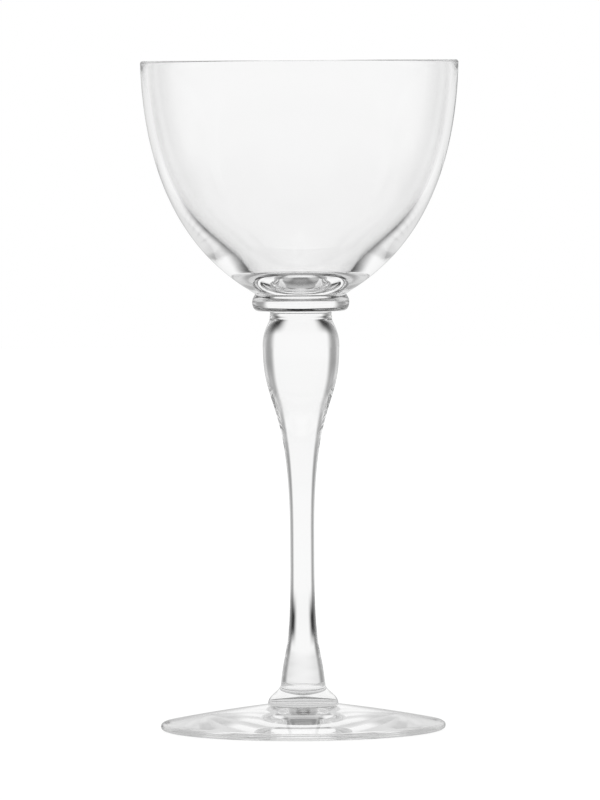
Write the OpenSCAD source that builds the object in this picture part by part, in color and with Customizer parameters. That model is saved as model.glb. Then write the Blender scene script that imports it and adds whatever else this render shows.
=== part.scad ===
// Stemmed water glass of clear crystal, put together hot from six gathers of glass.
// Millimetres, +Z up. The origin is the centre of the ring that the foot stands on.
// Every outline is a chain of cubic curves, each with two ends and two handles.

/* [Bowl] */
// Outside diameter of the bowl at its rim
rim_d = 95; // [84:0.5:106]
// Wall at the rim, which the fire-polished edge rounds over in a half circle
rim_wall = 1.6; // [1:0.1:2.2]
// Height of the bowl, from the face that is fused to the merese up to the rim
bowl_h = 69.7; // [62:0.1:78]
// Depth of the handle that keeps the outer side upright below the rim
side_drop = 51; // [44:0.5:57]
// Inward lean of that handle
side_lean = 1.4; // [0:0.1:3]
// Outward reach of the outer curve's handle where the bowl meets the merese
base_out = 6.6; // [5:0.1:8]
// Height of that handle over the fused face
base_up = 4.5; // [3:0.1:6]
// Glass between the side handles of the outer and the inner curve
side_wall = 2.85; // [2.2:0.05:3.4]
// Lift of the inner curve's side handle over the outer one
inner_lift = 12.4; // [10:0.1:15]
// Height of the heel, where the inner side turns into the floor, over the outer curve's base handle
heel_up = 4.7; // [4.2:0.1:5.4]
// Distance of the heel inwards from that handle
heel_inset = 1.8; // [1.2:0.1:2.4]
// Outward reach of the inner side's handle at the heel
heel_out = 12.7; // [11:0.1:14]
// Rise of that handle
heel_rise = 9.9; // [9:0.1:11]
// Inward reach of the floor's handle at the heel
heel_in = 1.8; // [1:0.1:2.6]
// Drop of that handle
heel_drop = 1.4; // [0.8:0.05:1.8]
// Glass between the fused face and the lowest point inside the bowl
bowl_floor = 4.6; // [3.6:0.1:5.4]
// Reach of the floor's flat handle outwards from the middle
floor_handle = 8.5; // [6:0.5:10.5]

/* [Merese] */
// Diameter of the fused face between the bowl and the merese
merese_top_d = 27.2; // [24:0.1:28.6]
// Greatest diameter of the merese, the flattened ring of glass under the bowl
merese_d = 29; // [27.6:0.1:32]
// Height from the greatest diameter up to the bowl
merese_upper_h = 2.5; // [1.6:0.1:3.4]
// Height from the greatest diameter down to the flat underside
merese_lower_h = 2.6; // [1.6:0.1:3.4]
// Upright handle above the greatest diameter
merese_upper_handle = 1.2; // [0.6:0.1:1.5]
// Upright handle below the greatest diameter
merese_lower_handle = 1.4; // [0.6:0.1:1.5]
// Drop of the handle at the top corner
merese_top_drop = 0.6; // [0.2:0.1:0.9]
// Outward reach of the handle at the top corner
merese_top_out = 0.25; // [0:0.05:0.45]
// Diameter at which the flat of the underside starts
merese_flat_d = 25; // [23.6:0.1:25.8]
// Outward reach of the handle at the edge of that flat
merese_flat_out = 1.3; // [0.4:0.1:1.4]

/* [Neck wafer] */
// Diameter of the fused face between the merese and the neck wafer
wafer_d = 18.8; // [18:0.1:20.4]
// Height of the neck wafer
wafer_h = 2.2; // [1.4:0.1:3.2]
// Diameter of the fused face between the neck wafer and the stem
neck_d = 18.6; // [17.2:0.1:19.8]
// Inward reach of the handle under the wafer's top edge
wafer_in = 0.45; // [0.1:0.05:0.6]
// Drop of that handle
wafer_drop = 0.55; // [0.2:0.05:0.8]
// Upright handle at the wafer's lower edge
wafer_handle = 0.8; // [0.3:0.1:1]

/* [Stem] */
// Greatest diameter of the baluster near the top of the stem
belly_d = 22.9; // [20.6:0.1:26]
// Height of the shoulder, from the greatest diameter up to the neck
shoulder_h = 8.4; // [7.4:0.1:12]
// Upright handle of the shoulder at the neck
shoulder_neck_handle = 1.4; // [0.4:0.1:2]
// Upright handle of the shoulder at the greatest diameter
shoulder_belly_handle = 5.1; // [3:0.1:5.4]
// Height of the long taper from the greatest diameter to the shank
taper_h = 56.6; // [48:0.1:70]
// Upright handle of the taper at the greatest diameter
taper_belly_handle = 19.2; // [14:0.1:24]
// Upright handle of the taper at the shank
taper_shank_handle = 40.8; // [34:0.1:46]
// Diameter of the shank, the slimmest part of the stem
shank_d = 7.2; // [6:0.1:9]
// Height of the straight shank
shank_h = 9; // [4:0.1:20]
// Height of the flare from the shank to the foot of the stem
flare_h = 36.1; // [30:0.1:46]
// Upright handle of the flare at the shank
flare_shank_handle = 26.6; // [18:0.1:28]
// Height of the flare's handle at the foot of the stem
flare_up = 12.1; // [6:0.1:16]
// Inward reach of that handle
flare_in = 1.15; // [0.4:0.05:1.6]
// Diameter of the fused face between the stem and the foot collar
stem_foot_d = 13.4; // [11.6:0.1:15.4]

/* [Foot collar] */
// Diameter of the fused face between the foot collar and the foot
collar_d = 21.2; // [18.6:0.1:24]
// Height of the foot collar
collar_h = 5.6; // [4.6:0.1:8]
// Outward reach of the handle at the collar's top edge
collar_top_out = 0.95; // [0.2:0.05:1.4]
// Drop of that handle
collar_top_drop = 2.1; // [0.8:0.1:2.3]
// Upright handle at the collar's lower edge
collar_foot_handle = 2.8; // [1:0.1:3]

/* [Foot] */
// Diameter of the foot
foot_d = 85.3; // [74:0.1:98]
// Height of the foot at the seat of the collar
foot_h = 7.3; // [6.2:0.1:10]
// Thickness of the foot's edge, which is rounded in a half circle
foot_edge = 2; // [1.4:0.1:2.8]
// Rise of the domed top over a straight cone on its outer third
dome_outer = 0.37; // [0:0.01:0.8]
// Rise of the domed top over a straight cone on its inner third
dome_inner = 0.24; // [0:0.01:0.8]
// Width of the flat ring that the foot stands on
stand_w = 2.6; // [1.6:0.1:5]
// Height of the hollow under the middle of the foot
hollow_h = 2.2; // [0.8:0.1:3]
// Reach of the hollow's handle inwards from the standing ring
hollow_edge_handle = 16; // [6:0.5:20]
// Rise of that handle
hollow_edge_rise = 1.2; // [0.4:0.1:1.6]
// Reach of the hollow's flat handle outwards from the middle
hollow_middle_handle = 10; // [4:0.5:16]

/* [Hidden] */
$fn = 180;
// Straight steps that stand for one curve, and for one rounded edge
curve_steps = 20;
edge_steps = 8;
clear_crystal = [0.93, 0.95, 0.95, 0.45];
// Heights of the fused faces, from the table up
collar_z = foot_h;
stem_z = collar_z + collar_h;
stem_h = flare_h + shank_h + taper_h + shoulder_h;
wafer_z = stem_z + stem_h;
merese_z = wafer_z + wafer_h;
bowl_z = merese_z + merese_upper_h + merese_lower_h;

// Points along a cubic curve from a to d, with handles b and c
function curve(a, b, c, d) = [
    for (i = [0 : curve_steps])
        let (t = i / curve_steps, u = 1 - t)
            u * u * u * a + 3 * u * u * t * b + 3 * u * t * t * c + t * t * t * d
];

// Points along a circular arc, from one angle to another
function arc(centre, radius, from, to) = [
    for (i = [0 : edge_steps])
        let (angle = from + (to - from) * i / edge_steps)
            centre + radius * [cos(angle), sin(angle)]
];

// One gather of glass, turned about the axis and seated at its height
module gather(height, outline) {
    color(clear_crystal)
        translate([0, 0, height])
            rotate_extrude()
                polygon(outline);
}

// Domed disc with a rounded edge, hollowed underneath so that only a ring touches the table
module foot() {
    edge_r = foot_edge / 2;
    top_start = [foot_d / 2 - edge_r, foot_edge];
    top_end = [collar_d / 2, foot_h];
    third = (top_end - top_start) / 3;
    stand_r = foot_d / 2 - edge_r - stand_w;
    gather(0, concat(
        curve([0, hollow_h], [hollow_middle_handle, hollow_h],
              [stand_r - hollow_edge_handle, hollow_edge_rise], [stand_r, 0]),
        arc([foot_d / 2 - edge_r, edge_r], edge_r, -90, 90),
        curve(top_start, top_start + third + [0, dome_outer],
              top_start + 2 * third + [0, dome_inner], top_end),
        [[0, foot_h]]
    ));
}

// Rounded button of glass that the stem is stuck to the foot with
module foot_collar() {
    gather(collar_z, concat(
        [[0, 0]],
        curve([collar_d / 2, 0], [collar_d / 2, collar_foot_handle],
              [stem_foot_d / 2 + collar_top_out, collar_h - collar_top_drop], [stem_foot_d / 2, collar_h]),
        [[0, collar_h]]
    ));
}

// Drawn baluster stem: flare, shank, long taper and shoulder, solid all through
module stem() {
    shank_low = flare_h;
    shank_high = shank_low + shank_h;
    belly = shank_high + taper_h;
    gather(stem_z, concat(
        [[0, 0]],
        curve([stem_foot_d / 2, 0], [stem_foot_d / 2 - flare_in, flare_up],
              [shank_d / 2, shank_low - flare_shank_handle], [shank_d / 2, shank_low]),
        curve([shank_d / 2, shank_high], [shank_d / 2, shank_high + taper_shank_handle],
              [belly_d / 2, belly - taper_belly_handle], [belly_d / 2, belly]),
        curve([belly_d / 2, belly], [belly_d / 2, belly + shoulder_belly_handle],
              [neck_d / 2, stem_h - shoulder_neck_handle], [neck_d / 2, stem_h]),
        [[0, stem_h]]
    ));
}

// Thin wafer of glass between the stem and the merese
module neck_wafer() {
    gather(wafer_z, concat(
        [[0, 0]],
        curve([neck_d / 2, 0], [neck_d / 2, wafer_handle],
              [wafer_d / 2 - wafer_in, wafer_h - wafer_drop], [wafer_d / 2, wafer_h]),
        [[0, wafer_h]]
    ));
}

// Flattened ring of glass that carries the bowl
module merese() {
    widest = [merese_d / 2, merese_lower_h];
    top = [merese_top_d / 2, merese_lower_h + merese_upper_h];
    gather(merese_z, concat(
        [[0, 0]],
        curve([merese_flat_d / 2, 0], [merese_flat_d / 2 + merese_flat_out, 0],
              widest - [0, merese_lower_handle], widest),
        curve(widest, widest + [0, merese_upper_handle],
              top + [merese_top_out, -merese_top_drop], top),
        [[0, top.y]]
    ));
}

// Blown bowl, with a wall that thickens downwards and turns into a dished floor at the heel
module bowl() {
    edge_r = rim_wall / 2;
    edge_z = bowl_h - edge_r;
    base = [merese_top_d / 2, 0];
    base_handle = base + [base_out, base_up];
    side_handle = [rim_d / 2 - side_lean, edge_z - side_drop];
    heel = base_handle + [-heel_inset, heel_up];
    gather(bowl_z, concat(
        [[0, 0]],
        curve(base, base_handle, side_handle, [rim_d / 2, edge_z]),
        arc([rim_d / 2 - edge_r, edge_z], edge_r, 0, 180),
        curve([rim_d / 2 - rim_wall, edge_z], side_handle + [-side_wall, inner_lift],
              heel + [heel_out, heel_rise], heel),
        curve(heel, heel - [heel_in, heel_drop], [floor_handle, bowl_floor], [0, bowl_floor])
    ));
}

foot();
foot_collar();
stem();
neck_wafer();
merese();
bowl();
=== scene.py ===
import bpy
import math
from mathutils import Matrix, Vector


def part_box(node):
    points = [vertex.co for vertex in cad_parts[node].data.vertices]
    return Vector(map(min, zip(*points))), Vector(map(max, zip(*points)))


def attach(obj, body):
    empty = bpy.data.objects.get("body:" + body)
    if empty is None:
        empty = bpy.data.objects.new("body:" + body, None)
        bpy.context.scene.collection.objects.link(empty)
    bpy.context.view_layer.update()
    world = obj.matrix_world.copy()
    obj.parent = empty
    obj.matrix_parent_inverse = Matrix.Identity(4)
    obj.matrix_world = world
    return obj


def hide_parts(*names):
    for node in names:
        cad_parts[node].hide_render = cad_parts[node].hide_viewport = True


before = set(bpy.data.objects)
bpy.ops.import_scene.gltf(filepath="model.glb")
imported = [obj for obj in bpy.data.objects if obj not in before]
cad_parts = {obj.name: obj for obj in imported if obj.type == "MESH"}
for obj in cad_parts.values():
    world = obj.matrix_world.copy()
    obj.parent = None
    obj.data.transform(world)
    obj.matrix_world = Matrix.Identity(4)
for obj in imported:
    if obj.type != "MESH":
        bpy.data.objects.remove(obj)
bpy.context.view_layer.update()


# Foot
# The foot is a gather of clear crystal, pressed out into a thin domed disc while it is hot.
# Its edge is fire-polished to a half round, and it is hollowed to stand on a flat ring.
MM = 0.001
TURN_STEPS = 256
CURVE_STEPS = 56
EDGE_STEPS = 14


def curve(start, start_handle, end_handle, end):
    """Points along a cubic curve, from start to end."""
    points = []
    for i in range(CURVE_STEPS + 1):
        t = i / CURVE_STEPS
        u = 1 - t
        points.append(tuple(
            u ** 3 * a + 3 * u * u * t * b + 3 * u * t * t * c + t ** 3 * d
            for a, b, c, d in zip(start, start_handle, end_handle, end)
        ))
    return points


def half_round(centre, radius, first_angle, last_angle):
    """Points along an arc, for an edge that is rounded over."""
    points = []
    for i in range(EDGE_STEPS + 1):
        angle = math.radians(first_angle + (last_angle - first_angle) * i / EDGE_STEPS)
        points.append((centre[0] + radius * math.cos(angle), centre[1] + radius * math.sin(angle)))
    return points


def melt_marks_group():
    """Faint marks of hot working: a slow change of tint and polish, and a shallow wave in the skin."""
    group = bpy.data.node_groups.new("melt_marks", "ShaderNodeTree")
    for label, kind, value in (
        ("Wave Size", "NodeSocketFloat", 60.0),
        ("Clear Tint", "NodeSocketColor", (1, 1, 1, 1)),
        ("Deep Tint", "NodeSocketColor", (1, 1, 1, 1)),
        ("Least Roughness", "NodeSocketFloat", 0.0),
        ("Most Roughness", "NodeSocketFloat", 0.01),
    ):
        group.interface.new_socket(name=label, in_out="INPUT", socket_type=kind).default_value = value
    group.interface.new_socket(name="Tint", in_out="OUTPUT", socket_type="NodeSocketColor")
    group.interface.new_socket(name="Polish", in_out="OUTPUT", socket_type="NodeSocketFloat")
    group.interface.new_socket(name="Wave", in_out="OUTPUT", socket_type="NodeSocketFloat")
    nodes = group.nodes
    links = group.links
    given = nodes.new("NodeGroupInput")
    result = nodes.new("NodeGroupOutput")
    place = nodes.new("ShaderNodeTexCoord")
    wave = nodes.new("ShaderNodeTexNoise")
    wave.inputs["Detail"].default_value = 1.0
    links.new(place.outputs["Object"], wave.inputs["Vector"])
    links.new(given.outputs["Wave Size"], wave.inputs["Scale"])
    cloud = nodes.new("ShaderNodeTexNoise")
    cloud.inputs["Scale"].default_value = 25.0
    cloud.inputs["Detail"].default_value = 2.0
    links.new(place.outputs["Object"], cloud.inputs["Vector"])
    tint = nodes.new("ShaderNodeMix")
    tint.data_type = "RGBA"
    links.new(cloud.outputs["Fac"], tint.inputs["Factor"])
    links.new(given.outputs["Clear Tint"], tint.inputs[6])
    links.new(given.outputs["Deep Tint"], tint.inputs[7])
    polish = nodes.new("ShaderNodeMapRange")
    polish.inputs["From Min"].default_value = 0.35
    polish.inputs["From Max"].default_value = 0.75
    links.new(cloud.outputs["Fac"], polish.inputs["Value"])
    links.new(given.outputs["Least Roughness"], polish.inputs["To Min"])
    links.new(given.outputs["Most Roughness"], polish.inputs["To Max"])
    links.new(tint.outputs[2], result.inputs["Tint"])
    links.new(polish.outputs["Result"], result.inputs["Polish"])
    links.new(wave.outputs["Fac"], result.inputs["Wave"])
    return group


MELT_MARKS = melt_marks_group()


def crystal(name, clear_tint, deep_tint, wave_size, wave_depth):
    """Clear crystal with its marks of hot working; tints as plain grey levels, depth in millimetres."""
    material = bpy.data.materials.new(name)
    material.use_nodes = True
    nodes = material.node_tree.nodes
    links = material.node_tree.links
    shader = nodes["Principled BSDF"]
    shader.inputs["IOR"].default_value = 1.52
    shader.inputs["Transmission Weight"].default_value = 1.0
    marks = nodes.new("ShaderNodeGroup")
    marks.node_tree = MELT_MARKS
    marks.inputs["Wave Size"].default_value = wave_size
    marks.inputs["Clear Tint"].default_value = (clear_tint, clear_tint, clear_tint, 1)
    marks.inputs["Deep Tint"].default_value = (deep_tint, deep_tint, deep_tint, 1)
    marks.inputs["Least Roughness"].default_value = 0.0
    marks.inputs["Most Roughness"].default_value = 0.004
    bump = nodes.new("ShaderNodeBump")
    bump.inputs["Strength"].default_value = 1.0
    bump.inputs["Distance"].default_value = wave_depth * MM
    links.new(marks.outputs["Wave"], bump.inputs["Height"])
    links.new(marks.outputs["Tint"], shader.inputs["Base Color"])
    links.new(marks.outputs["Polish"], shader.inputs["Roughness"])
    links.new(bump.outputs["Normal"], shader.inputs["Normal"])
    return material


def fused_face_material():
    """The inside of a joint, where the glass of two gathers has run together and nothing shows."""
    material = bpy.data.materials.new("fused_glass")
    material.use_nodes = True
    nodes = material.node_tree.nodes
    nodes.clear()
    output = nodes.new("ShaderNodeOutputMaterial")
    clear = nodes.new("ShaderNodeBsdfTransparent")
    material.node_tree.links.new(clear.outputs["BSDF"], output.inputs["Surface"])
    return material


FUSED_GLASS = fused_face_material()


def turn(name, height, outline, material, fused_heights, ripple=None):
    """Turns an outline of (radius, height) in millimetres about the axis, from axis to axis."""
    clean = [outline[0]]
    for point in outline[1:]:
        if math.dist(point, clean[-1]) > 1e-5:
            clean.append(point)
    points = []
    rings = []
    for radius, z in clean:
        if radius < 1e-6:
            rings.append([len(points)])
            points.append(Vector((0, 0, z + height)) * MM)
            continue
        ring = []
        for k in range(TURN_STEPS):
            angle = 2 * math.pi * k / TURN_STEPS
            here = radius + (ripple(angle, z) if ripple else 0)
            ring.append(len(points))
            points.append(Vector((here * math.cos(angle), here * math.sin(angle), z + height)) * MM)
        rings.append(ring)
    faces = []
    fused = []
    for (low, high), (a, b) in zip(zip(rings, rings[1:]), zip(clean, clean[1:])):
        level = abs(a[1] - b[1]) < 1e-6 and any(abs(a[1] - z) < 1e-6 for z in fused_heights)
        for k in range(TURN_STEPS):
            after = (k + 1) % TURN_STEPS
            if len(low) == 1:
                faces.append((low[0], high[after], high[k]))
            elif len(high) == 1:
                faces.append((low[k], low[after], high[0]))
            else:
                faces.append((low[k], low[after], high[after], high[k]))
            fused.append(1 if level and min(a[0], b[0]) < 1e-6 else 0)
    mesh = bpy.data.meshes.new(name)
    mesh.from_pydata(points, [], faces)
    mesh.materials.append(material)
    mesh.materials.append(FUSED_GLASS)
    mesh.polygons.foreach_set("material_index", fused)
    mesh.shade_smooth()
    mesh.set_sharp_from_angle(angle=math.radians(25))
    piece = bpy.data.objects.new(name, mesh)
    bpy.context.scene.collection.objects.link(piece)
    return piece


collar_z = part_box("foot_collar")[0][2] / MM
foot_h = collar_z
foot_r = 42.65
foot_edge_r = 1.0
collar_r = 10.6
stand_w = 2.6
hollow_h = 2.2
stand_r = foot_r - foot_edge_r - stand_w
top_start = (foot_r - foot_edge_r, 2 * foot_edge_r)
third = ((collar_r - top_start[0]) / 3, (foot_h - top_start[1]) / 3)
foot_outline = [
    *curve((0, hollow_h), (10, hollow_h), (stand_r - 16, 1.2), (stand_r, 0)),
    *half_round((foot_r - foot_edge_r, foot_edge_r), foot_edge_r, -90, 90),
    *curve(top_start, (top_start[0] + third[0], top_start[1] + third[1] + 0.37),
           (top_start[0] + 2 * third[0], top_start[1] + 2 * third[1] + 0.24), (collar_r, foot_h)),
    (0, foot_h),
]
foot = turn("foot_disc", 0, foot_outline, crystal("foot_crystal", 0.995, 0.985, 40, 0.02), [foot_h])
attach(foot, "root")
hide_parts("foot")


# Foot collar
# The collar is a small button of hot crystal that the stem is stuck to the foot with.
# It slumps into a rounded step, and a crease is left above it where it meets the stem.
stem_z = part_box("stem")[0][2] / MM
collar_h = stem_z - collar_z
stem_foot_r = 6.7
collar_outline = [
    (0, 0),
    *curve((collar_r, 0), (collar_r, 2.8), (stem_foot_r + 0.95, collar_h - 2.1), (stem_foot_r, collar_h)),
    (0, collar_h),
]
collar = turn("foot_button", collar_z, collar_outline, crystal("collar_crystal", 0.99, 0.98, 90, 0.02),
              [0, collar_h])
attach(collar, "root")
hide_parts("foot_collar")


# Stem
# The stem is drawn solid from one gather of crystal, pulled thin in the middle by tongs.
# It swells to a baluster under the bowl, and its flare keeps shallow ripples from the tool.
wafer_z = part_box("neck_wafer")[0][2] / MM
stem_h = wafer_z - stem_z
shank_r = 3.6
shank_low = 36.1
shank_high = 45.1
belly_r = 11.45
belly_z = 101.7
neck_r = 9.3
ripple_depth = 0.006
stem_outline = [
    (0, 0),
    *curve((stem_foot_r, 0), (stem_foot_r - 1.15, 12.1), (shank_r, shank_low - 26.6), (shank_r, shank_low)),
    *curve((shank_r, shank_high), (shank_r, shank_high + 40.8),
           (belly_r, belly_z - 19.2), (belly_r, belly_z)),
    *curve((belly_r, belly_z), (belly_r, belly_z + 5.1), (neck_r, stem_h - 1.4), (neck_r, stem_h)),
    (0, stem_h),
]


def tool_ripple(angle, z):
    """Shallow ripples round the flare, which die out upwards and at the joint with the collar."""
    fade = max(0.0, 1 - z / 20) * min(1.0, z / 1.5)
    slow = math.sin(2 * math.pi * z / 3.1 + 1.3 * math.sin(2 * angle + 0.7))
    quick = 0.5 * math.sin(2 * math.pi * z / 1.7 + 2.1 * math.cos(angle - 0.4))
    return ripple_depth * fade * (slow + quick)


stem = turn("baluster_stem", stem_z, stem_outline, crystal("stem_crystal", 0.985, 0.97, 70, 0.01),
            [0, stem_h], tool_ripple)
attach(stem, "root")
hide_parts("stem")


# Neck wafer
# The neck wafer is a thin disc of crystal, stuck hot between the stem and the merese.
# Tongs nip it in, so that a crease shows above and below it.
merese_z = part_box("merese")[0][2] / MM
wafer_h = merese_z - wafer_z
wafer_r = 9.4
wafer_outline = [
    (0, 0),
    *curve((neck_r, 0), (neck_r, 0.8), (wafer_r - 0.45, wafer_h - 0.55), (wafer_r, wafer_h)),
    (0, wafer_h),
]
wafer = turn("neck_joint_wafer", wafer_z, wafer_outline, crystal("wafer_crystal", 0.985, 0.97, 120, 0.004),
             [0, wafer_h])
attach(wafer, "root")
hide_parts("neck_wafer")


# Merese
# The merese is a button of hot crystal, flattened into a ring that carries the bowl.
# Its underside is pressed flat, and its edge stays round.
bowl_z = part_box("bowl")[0][2] / MM
merese_h = bowl_z - merese_z
merese_r = 14.5
merese_top_r = 13.6
merese_flat_r = 12.5
merese_waist = 2.6
merese_outline = [
    (0, 0),
    (wafer_r, 0),
    *curve((merese_flat_r, 0), (merese_flat_r + 1.3, 0),
           (merese_r, merese_waist - 1.4), (merese_r, merese_waist)),
    *curve((merese_r, merese_waist), (merese_r, merese_waist + 1.2),
           (merese_top_r + 0.25, merese_h - 0.6), (merese_top_r, merese_h)),
    (0, merese_h),
]
merese = turn("merese_ring", merese_z, merese_outline, crystal("merese_crystal", 0.985, 0.97, 120, 0.004),
              [0, merese_h])
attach(merese, "root")
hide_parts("merese")


# Bowl
# The bowl is blown from clear crystal, with a wall of about two millimetres that thickens
# downwards to a dished floor. Its rim is cut, ground and fire-polished to a half round.
bowl_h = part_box("bowl")[1][2] / MM - bowl_z
rim_r = 47.5
rim_wall = 1.6
rim_edge_z = bowl_h - rim_wall / 2
bowl_floor = 4.6
base_handle = (merese_top_r + 6.6, 4.5)
side_handle = (rim_r - 1.4, rim_edge_z - 51)
heel = (base_handle[0] - 1.8, base_handle[1] + 4.7)
bowl_outline = [
    (0, 0),
    *curve((merese_top_r, 0), base_handle, side_handle, (rim_r, rim_edge_z)),
    *half_round((rim_r - rim_wall / 2, rim_edge_z), rim_wall / 2, 0, 180),
    *curve((rim_r - rim_wall, rim_edge_z), (side_handle[0] - 2.85, side_handle[1] + 12.4),
           (heel[0] + 12.7, heel[1] + 9.9), heel),
    *curve(heel, (heel[0] - 1.8, heel[1] - 1.4), (8.5, bowl_floor), (0, bowl_floor)),
]
bowl = turn("blown_bowl", bowl_z, bowl_outline, crystal("bowl_crystal", 0.999, 0.996, 30, 0.01), [0])
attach(bowl, "root")
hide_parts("bowl")


# Studio
# The glass stands on a white table before a white backdrop, which the camera sees as plain white. Through
# the glass, a white back shows with soft boxes at the sides and dark cards in the gaps, so that clear
# edges show dark; on the table these are painted light and painted dark patches in its glow, which only
# rays through the glass see. The outer skin mirrors a plainer room, white behind the glass and grey in
# front; on the table this is a painted reflection level in its glow.


def soft_panel_group():
    """One soft-edged panel, painted over the level under it, in two coordinates across and along."""
    group = bpy.data.node_groups.new("soft_panel", "ShaderNodeTree")
    labels = ["Under", "Across", "Along", "Level"]
    for axis in ("Across", "Along"):
        labels += [axis + " Start", axis + " Full", axis + " Fade", axis + " End"]
    for label in labels:
        group.interface.new_socket(name=label, in_out="INPUT", socket_type="NodeSocketFloat")
    group.interface.new_socket(name="Level", in_out="OUTPUT", socket_type="NodeSocketFloat")
    nodes = group.nodes
    links = group.links
    given = nodes.new("NodeGroupInput")
    result = nodes.new("NodeGroupOutput")
    cover = []
    for axis in ("Across", "Along"):
        for low, high, before, after in ((" Start", " Full", 0, 1), (" Fade", " End", 1, 0)):
            edge = nodes.new("ShaderNodeMapRange")
            edge.interpolation_type = "SMOOTHSTEP"
            edge.inputs["To Min"].default_value = before
            edge.inputs["To Max"].default_value = after
            links.new(given.outputs[axis], edge.inputs["Value"])
            links.new(given.outputs[axis + low], edge.inputs["From Min"])
            links.new(given.outputs[axis + high], edge.inputs["From Max"])
            cover.append(edge.outputs["Result"])
    while len(cover) > 1:
        both = nodes.new("ShaderNodeMath")
        both.operation = "MULTIPLY"
        links.new(cover.pop(), both.inputs[0])
        links.new(cover.pop(), both.inputs[1])
        cover.append(both.outputs[0])
    paint = nodes.new("ShaderNodeMix")
    paint.data_type = "FLOAT"
    links.new(cover[0], paint.inputs[0])
    links.new(given.outputs["Under"], paint.inputs[2])
    links.new(given.outputs["Level"], paint.inputs[3])
    links.new(paint.outputs[0], result.inputs["Level"])
    return group


SOFT_PANEL = soft_panel_group()


def paint_panels(tree, across, along, base, panels, across_soft, along_soft):
    """Paints panels of (level, from, to, from, to) one over the other, and gives the last level."""
    level = base
    for value, across_from, across_to, along_from, along_to in panels:
        panel = tree.nodes.new("ShaderNodeGroup")
        panel.node_tree = SOFT_PANEL
        if isinstance(level, float):
            panel.inputs["Under"].default_value = level
        else:
            tree.links.new(level, panel.inputs["Under"])
        tree.links.new(across, panel.inputs["Across"])
        tree.links.new(along, panel.inputs["Along"])
        panel.inputs["Level"].default_value = value
        for axis, low, high, soft in (
            ("Across", across_from, across_to, across_soft), ("Along", along_from, along_to, along_soft)
        ):
            panel.inputs[axis + " Start"].default_value = low - soft / 2
            panel.inputs[axis + " Full"].default_value = low + soft / 2
            panel.inputs[axis + " Fade"].default_value = high - soft / 2
            panel.inputs[axis + " End"].default_value = high + soft / 2
        level = panel.outputs["Level"]
    return level


def sum_node(tree, operation, *values):
    """One step of arithmetic on sockets or plain numbers."""
    node = tree.nodes.new("ShaderNodeMath")
    node.operation = operation
    for socket, value in zip(node.inputs, values):
        if isinstance(value, (int, float)):
            socket.default_value = value
        else:
            tree.links.new(value, socket)
    return node.outputs[0]


def turned_from_back(tree, x, y):
    """Degrees round from straight behind the glass, the same to the left and to the right."""
    aside = sum_node(tree, "ABSOLUTE", x)
    return sum_node(tree, "DEGREES", sum_node(tree, "ARCTAN2", aside, y))


# A panel is a level, then its reach in degrees round from the back, then its reach in degrees up
WIDE = 400
# Level the outer skin reflects: world light in the sky, and a painted reflection level on the table
SKIN_LEVEL = 0.5
sky_skin_soft = (40, 9)
sky_skin_panels = [
    (0.95, -WIDE, 50, 7, WIDE),
]
sky_base = 0.0
sky_soft = (18, 10)
sky_panels = [
    (0.34, 145, WIDE, -WIDE, 50),
    (0.42, 75, WIDE, -WIDE, 24),
    (0.78, 75, WIDE, -WIDE, 10),
    (0.40, -WIDE, 26, 24, 54),
    (0.75, 36, 70, 22, 49),
    (0.70, 56, 84, -WIDE, 19),
    (1.00, -WIDE, 41, -WIDE, 25),
    (0.46, 41, 57, -WIDE, 22),
    (0.30, 41, 57, -WIDE, 9),
]
world = bpy.data.worlds.new("studio_light")
bpy.context.scene.world = world
world.use_nodes = True
sky = world.node_tree
sky.nodes.clear()
sky_place = sky.nodes.new("ShaderNodeTexCoord")
sky_split = sky.nodes.new("ShaderNodeSeparateXYZ")
sky.links.new(sky_place.outputs["Generated"], sky_split.inputs[0])
sky_turned = turned_from_back(sky, sky_split.outputs["X"], sky_split.outputs["Y"])
sky_raised = sum_node(sky, "DEGREES", sum_node(sky, "ARCSINE", sky_split.outputs["Z"]))
sky_level = paint_panels(sky, sky_turned, sky_raised, sky_base, sky_panels, *sky_soft)
sky_ray = sky.nodes.new("ShaderNodeLightPath")
sky_lit = sky.nodes.new("ShaderNodeBackground")
sky_lit.inputs["Color"].default_value = (1, 1, 1, 1)
sky_choice = sky.nodes.new("ShaderNodeMix")
sky_choice.data_type = "FLOAT"
sky_skin = paint_panels(sky, sky_turned, sky_raised, SKIN_LEVEL, sky_skin_panels, *sky_skin_soft)
sky.links.new(sky_skin, sky_choice.inputs[2])
sky.links.new(sky_ray.outputs["Is Transmission Ray"], sky_choice.inputs[0])
sky.links.new(sky_level, sky_choice.inputs[3])
sky.links.new(sky_choice.outputs[0], sky_lit.inputs["Strength"])
sky_white = sky.nodes.new("ShaderNodeBackground")
sky_white.inputs["Color"].default_value = (1, 1, 1, 1)
sky_mix = sky.nodes.new("ShaderNodeMixShader")
sky_output = sky.nodes.new("ShaderNodeOutputWorld")
sky.links.new(sky_ray.outputs["Is Camera Ray"], sky_mix.inputs["Fac"])
sky.links.new(sky_lit.outputs[0], sky_mix.inputs[1])
sky.links.new(sky_white.outputs[0], sky_mix.inputs[2])
sky.links.new(sky_mix.outputs[0], sky_output.inputs["Surface"])

# On the table, painted light: its glow is painted with patches for rays through the glass, and with a
# painted reflection level for other rays. The second reach is the distance from the glass, as the power
# of ten in millimetres
# Painted reflection in the table's glow for rays not through the glass, brighter behind the glass
table_painted_reflection_soft = (40, 0.3)
table_painted_reflection_panels = [
    (0.72, -WIDE, 60, -WIDE, 3.00),
]
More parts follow.
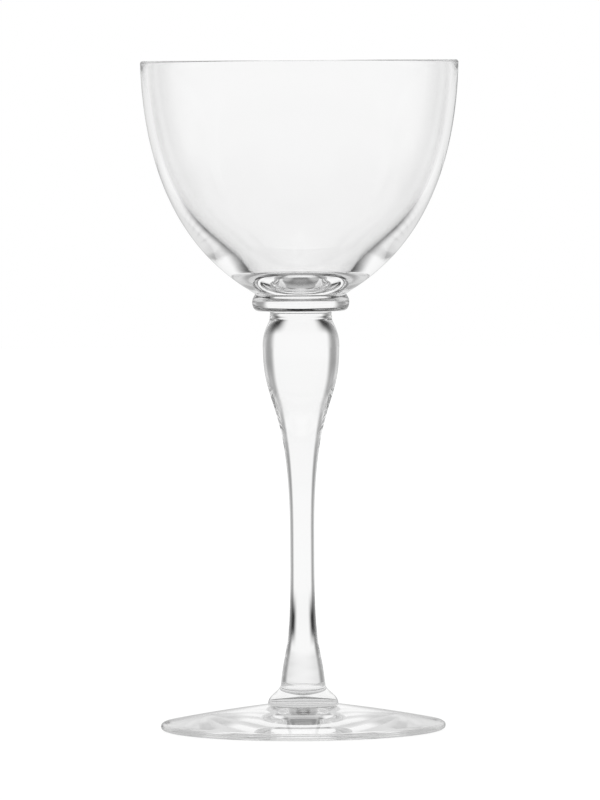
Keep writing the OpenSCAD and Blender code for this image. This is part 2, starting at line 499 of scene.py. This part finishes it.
# Painted light and painted dark patches in the table's glow, seen only by rays through the glass
table_painted_light_base = 0.46
table_painted_light_soft = (18, 0.35)
table_painted_light_panels = [
    (0.80, 75, WIDE, 2.40, WIDE),
    (0.18, 148, WIDE, 1.85, 2.28),
    (0.60, 56, 82, 2.75, WIDE),
    (1.00, -WIDE, 39, 1.75, WIDE),
    (0.30, 40, 57, 2.60, WIDE),
    (0.20, 38, 84, 1.70, 2.62),
    (0.00, 24, 48, 2.05, 2.52),
    (0.68, -WIDE, 32, -WIDE, 1.78),
    (0.62, -WIDE, WIDE, -WIDE, 1.60),
    (0.95, -WIDE, 40, -WIDE, 1.35),
]
table_half = 3.0
table_gap = 0.0002
table_glow_level = 0.92
cloth_grey = 0.22
floor_mesh = bpy.data.meshes.new("studio_table")
floor_corners = [
    (-table_half, -table_half, 0), (table_half, -table_half, 0),
    (table_half, table_half, 0), (-table_half, table_half, 0),
]
floor_mesh.from_pydata(floor_corners, [], [(0, 1, 2, 3)])
floor = bpy.data.objects.new("studio_table", floor_mesh)
bpy.context.scene.collection.objects.link(floor)
floor.location.z = -table_gap
table = bpy.data.materials.new("table_white_and_painted_glow")
table.use_nodes = True
tree = table.node_tree
tree.nodes.clear()
floor_mesh.materials.append(table)
table_place = tree.nodes.new("ShaderNodeTexCoord")
table_split = tree.nodes.new("ShaderNodeSeparateXYZ")
tree.links.new(table_place.outputs["Object"], table_split.inputs[0])
table_turned = turned_from_back(tree, table_split.outputs["X"], table_split.outputs["Y"])
across_square = sum_node(tree, "MULTIPLY", table_split.outputs["X"], table_split.outputs["X"])
along_square = sum_node(tree, "MULTIPLY", table_split.outputs["Y"], table_split.outputs["Y"])
far = sum_node(tree, "SQRT", sum_node(tree, "ADD", across_square, along_square))
far_power = sum_node(tree, "LOGARITHM", sum_node(tree, "MULTIPLY", far, 1 / MM), 10.0)
table_painted_light_level = paint_panels(tree, table_turned, far_power, table_painted_light_base, table_painted_light_panels, *table_painted_light_soft)
table_ray = tree.nodes.new("ShaderNodeLightPath")
table_choice = tree.nodes.new("ShaderNodeMix")
table_choice.data_type = "FLOAT"
table_painted_reflection = paint_panels(tree, table_turned, far_power, SKIN_LEVEL, table_painted_reflection_panels, *table_painted_reflection_soft)
tree.links.new(table_painted_reflection, table_choice.inputs[2])
tree.links.new(table_ray.outputs["Is Transmission Ray"], table_choice.inputs[0])
tree.links.new(table_painted_light_level, table_choice.inputs[3])
# The table glows with the painted level: painted light through the glass, painted reflection elsewhere
table_painted_glow = tree.nodes.new("ShaderNodeEmission")
tree.links.new(table_choice.outputs[0], table_painted_glow.inputs["Strength"])
table_glow = tree.nodes.new("ShaderNodeEmission")
table_glow.inputs["Strength"].default_value = table_glow_level
table_cloth = tree.nodes.new("ShaderNodeBsdfDiffuse")
table_cloth.inputs["Color"].default_value = (cloth_grey, cloth_grey, cloth_grey, 1)
table_seen = tree.nodes.new("ShaderNodeAddShader")
tree.links.new(table_glow.outputs[0], table_seen.inputs[0])
tree.links.new(table_cloth.outputs[0], table_seen.inputs[1])
table_mix = tree.nodes.new("ShaderNodeMixShader")
table_output = tree.nodes.new("ShaderNodeOutputMaterial")
tree.links.new(table_ray.outputs["Is Camera Ray"], table_mix.inputs["Fac"])
tree.links.new(table_painted_glow.outputs[0], table_mix.inputs[1])
tree.links.new(table_seen.outputs[0], table_mix.inputs[2])
tree.links.new(table_mix.outputs[0], table_output.inputs["Surface"])


# Camera
# It stands 2.25 m in front of the glass at the height of the rim, with a long lens tilted down a little.
camera_data = bpy.data.cameras.new("photo_camera")
camera = bpy.data.objects.new("photo_camera", camera_data)
bpy.context.scene.collection.objects.link(camera)
bpy.context.scene.camera = camera
tilt = math.radians(2.578)
roll = math.radians(0.36)
camera_data.sensor_width = 36
camera_data.lens = 339.6
camera_data.clip_end = 60
camera.location = (-0.0004, -2.254, 0.2)
aim = Matrix.Rotation(math.pi / 2 - tilt, 3, "X") @ Matrix.Rotation(-roll, 3, "Z")
camera.rotation_euler = aim.to_euler()

scene = bpy.context.scene
scene.view_settings.view_transform = "Standard"
scene.cycles.max_bounces = 128
scene.cycles.transmission_bounces = 128
scene.cycles.glossy_bounces = 128
scene.cycles.transparent_max_bounces = 64
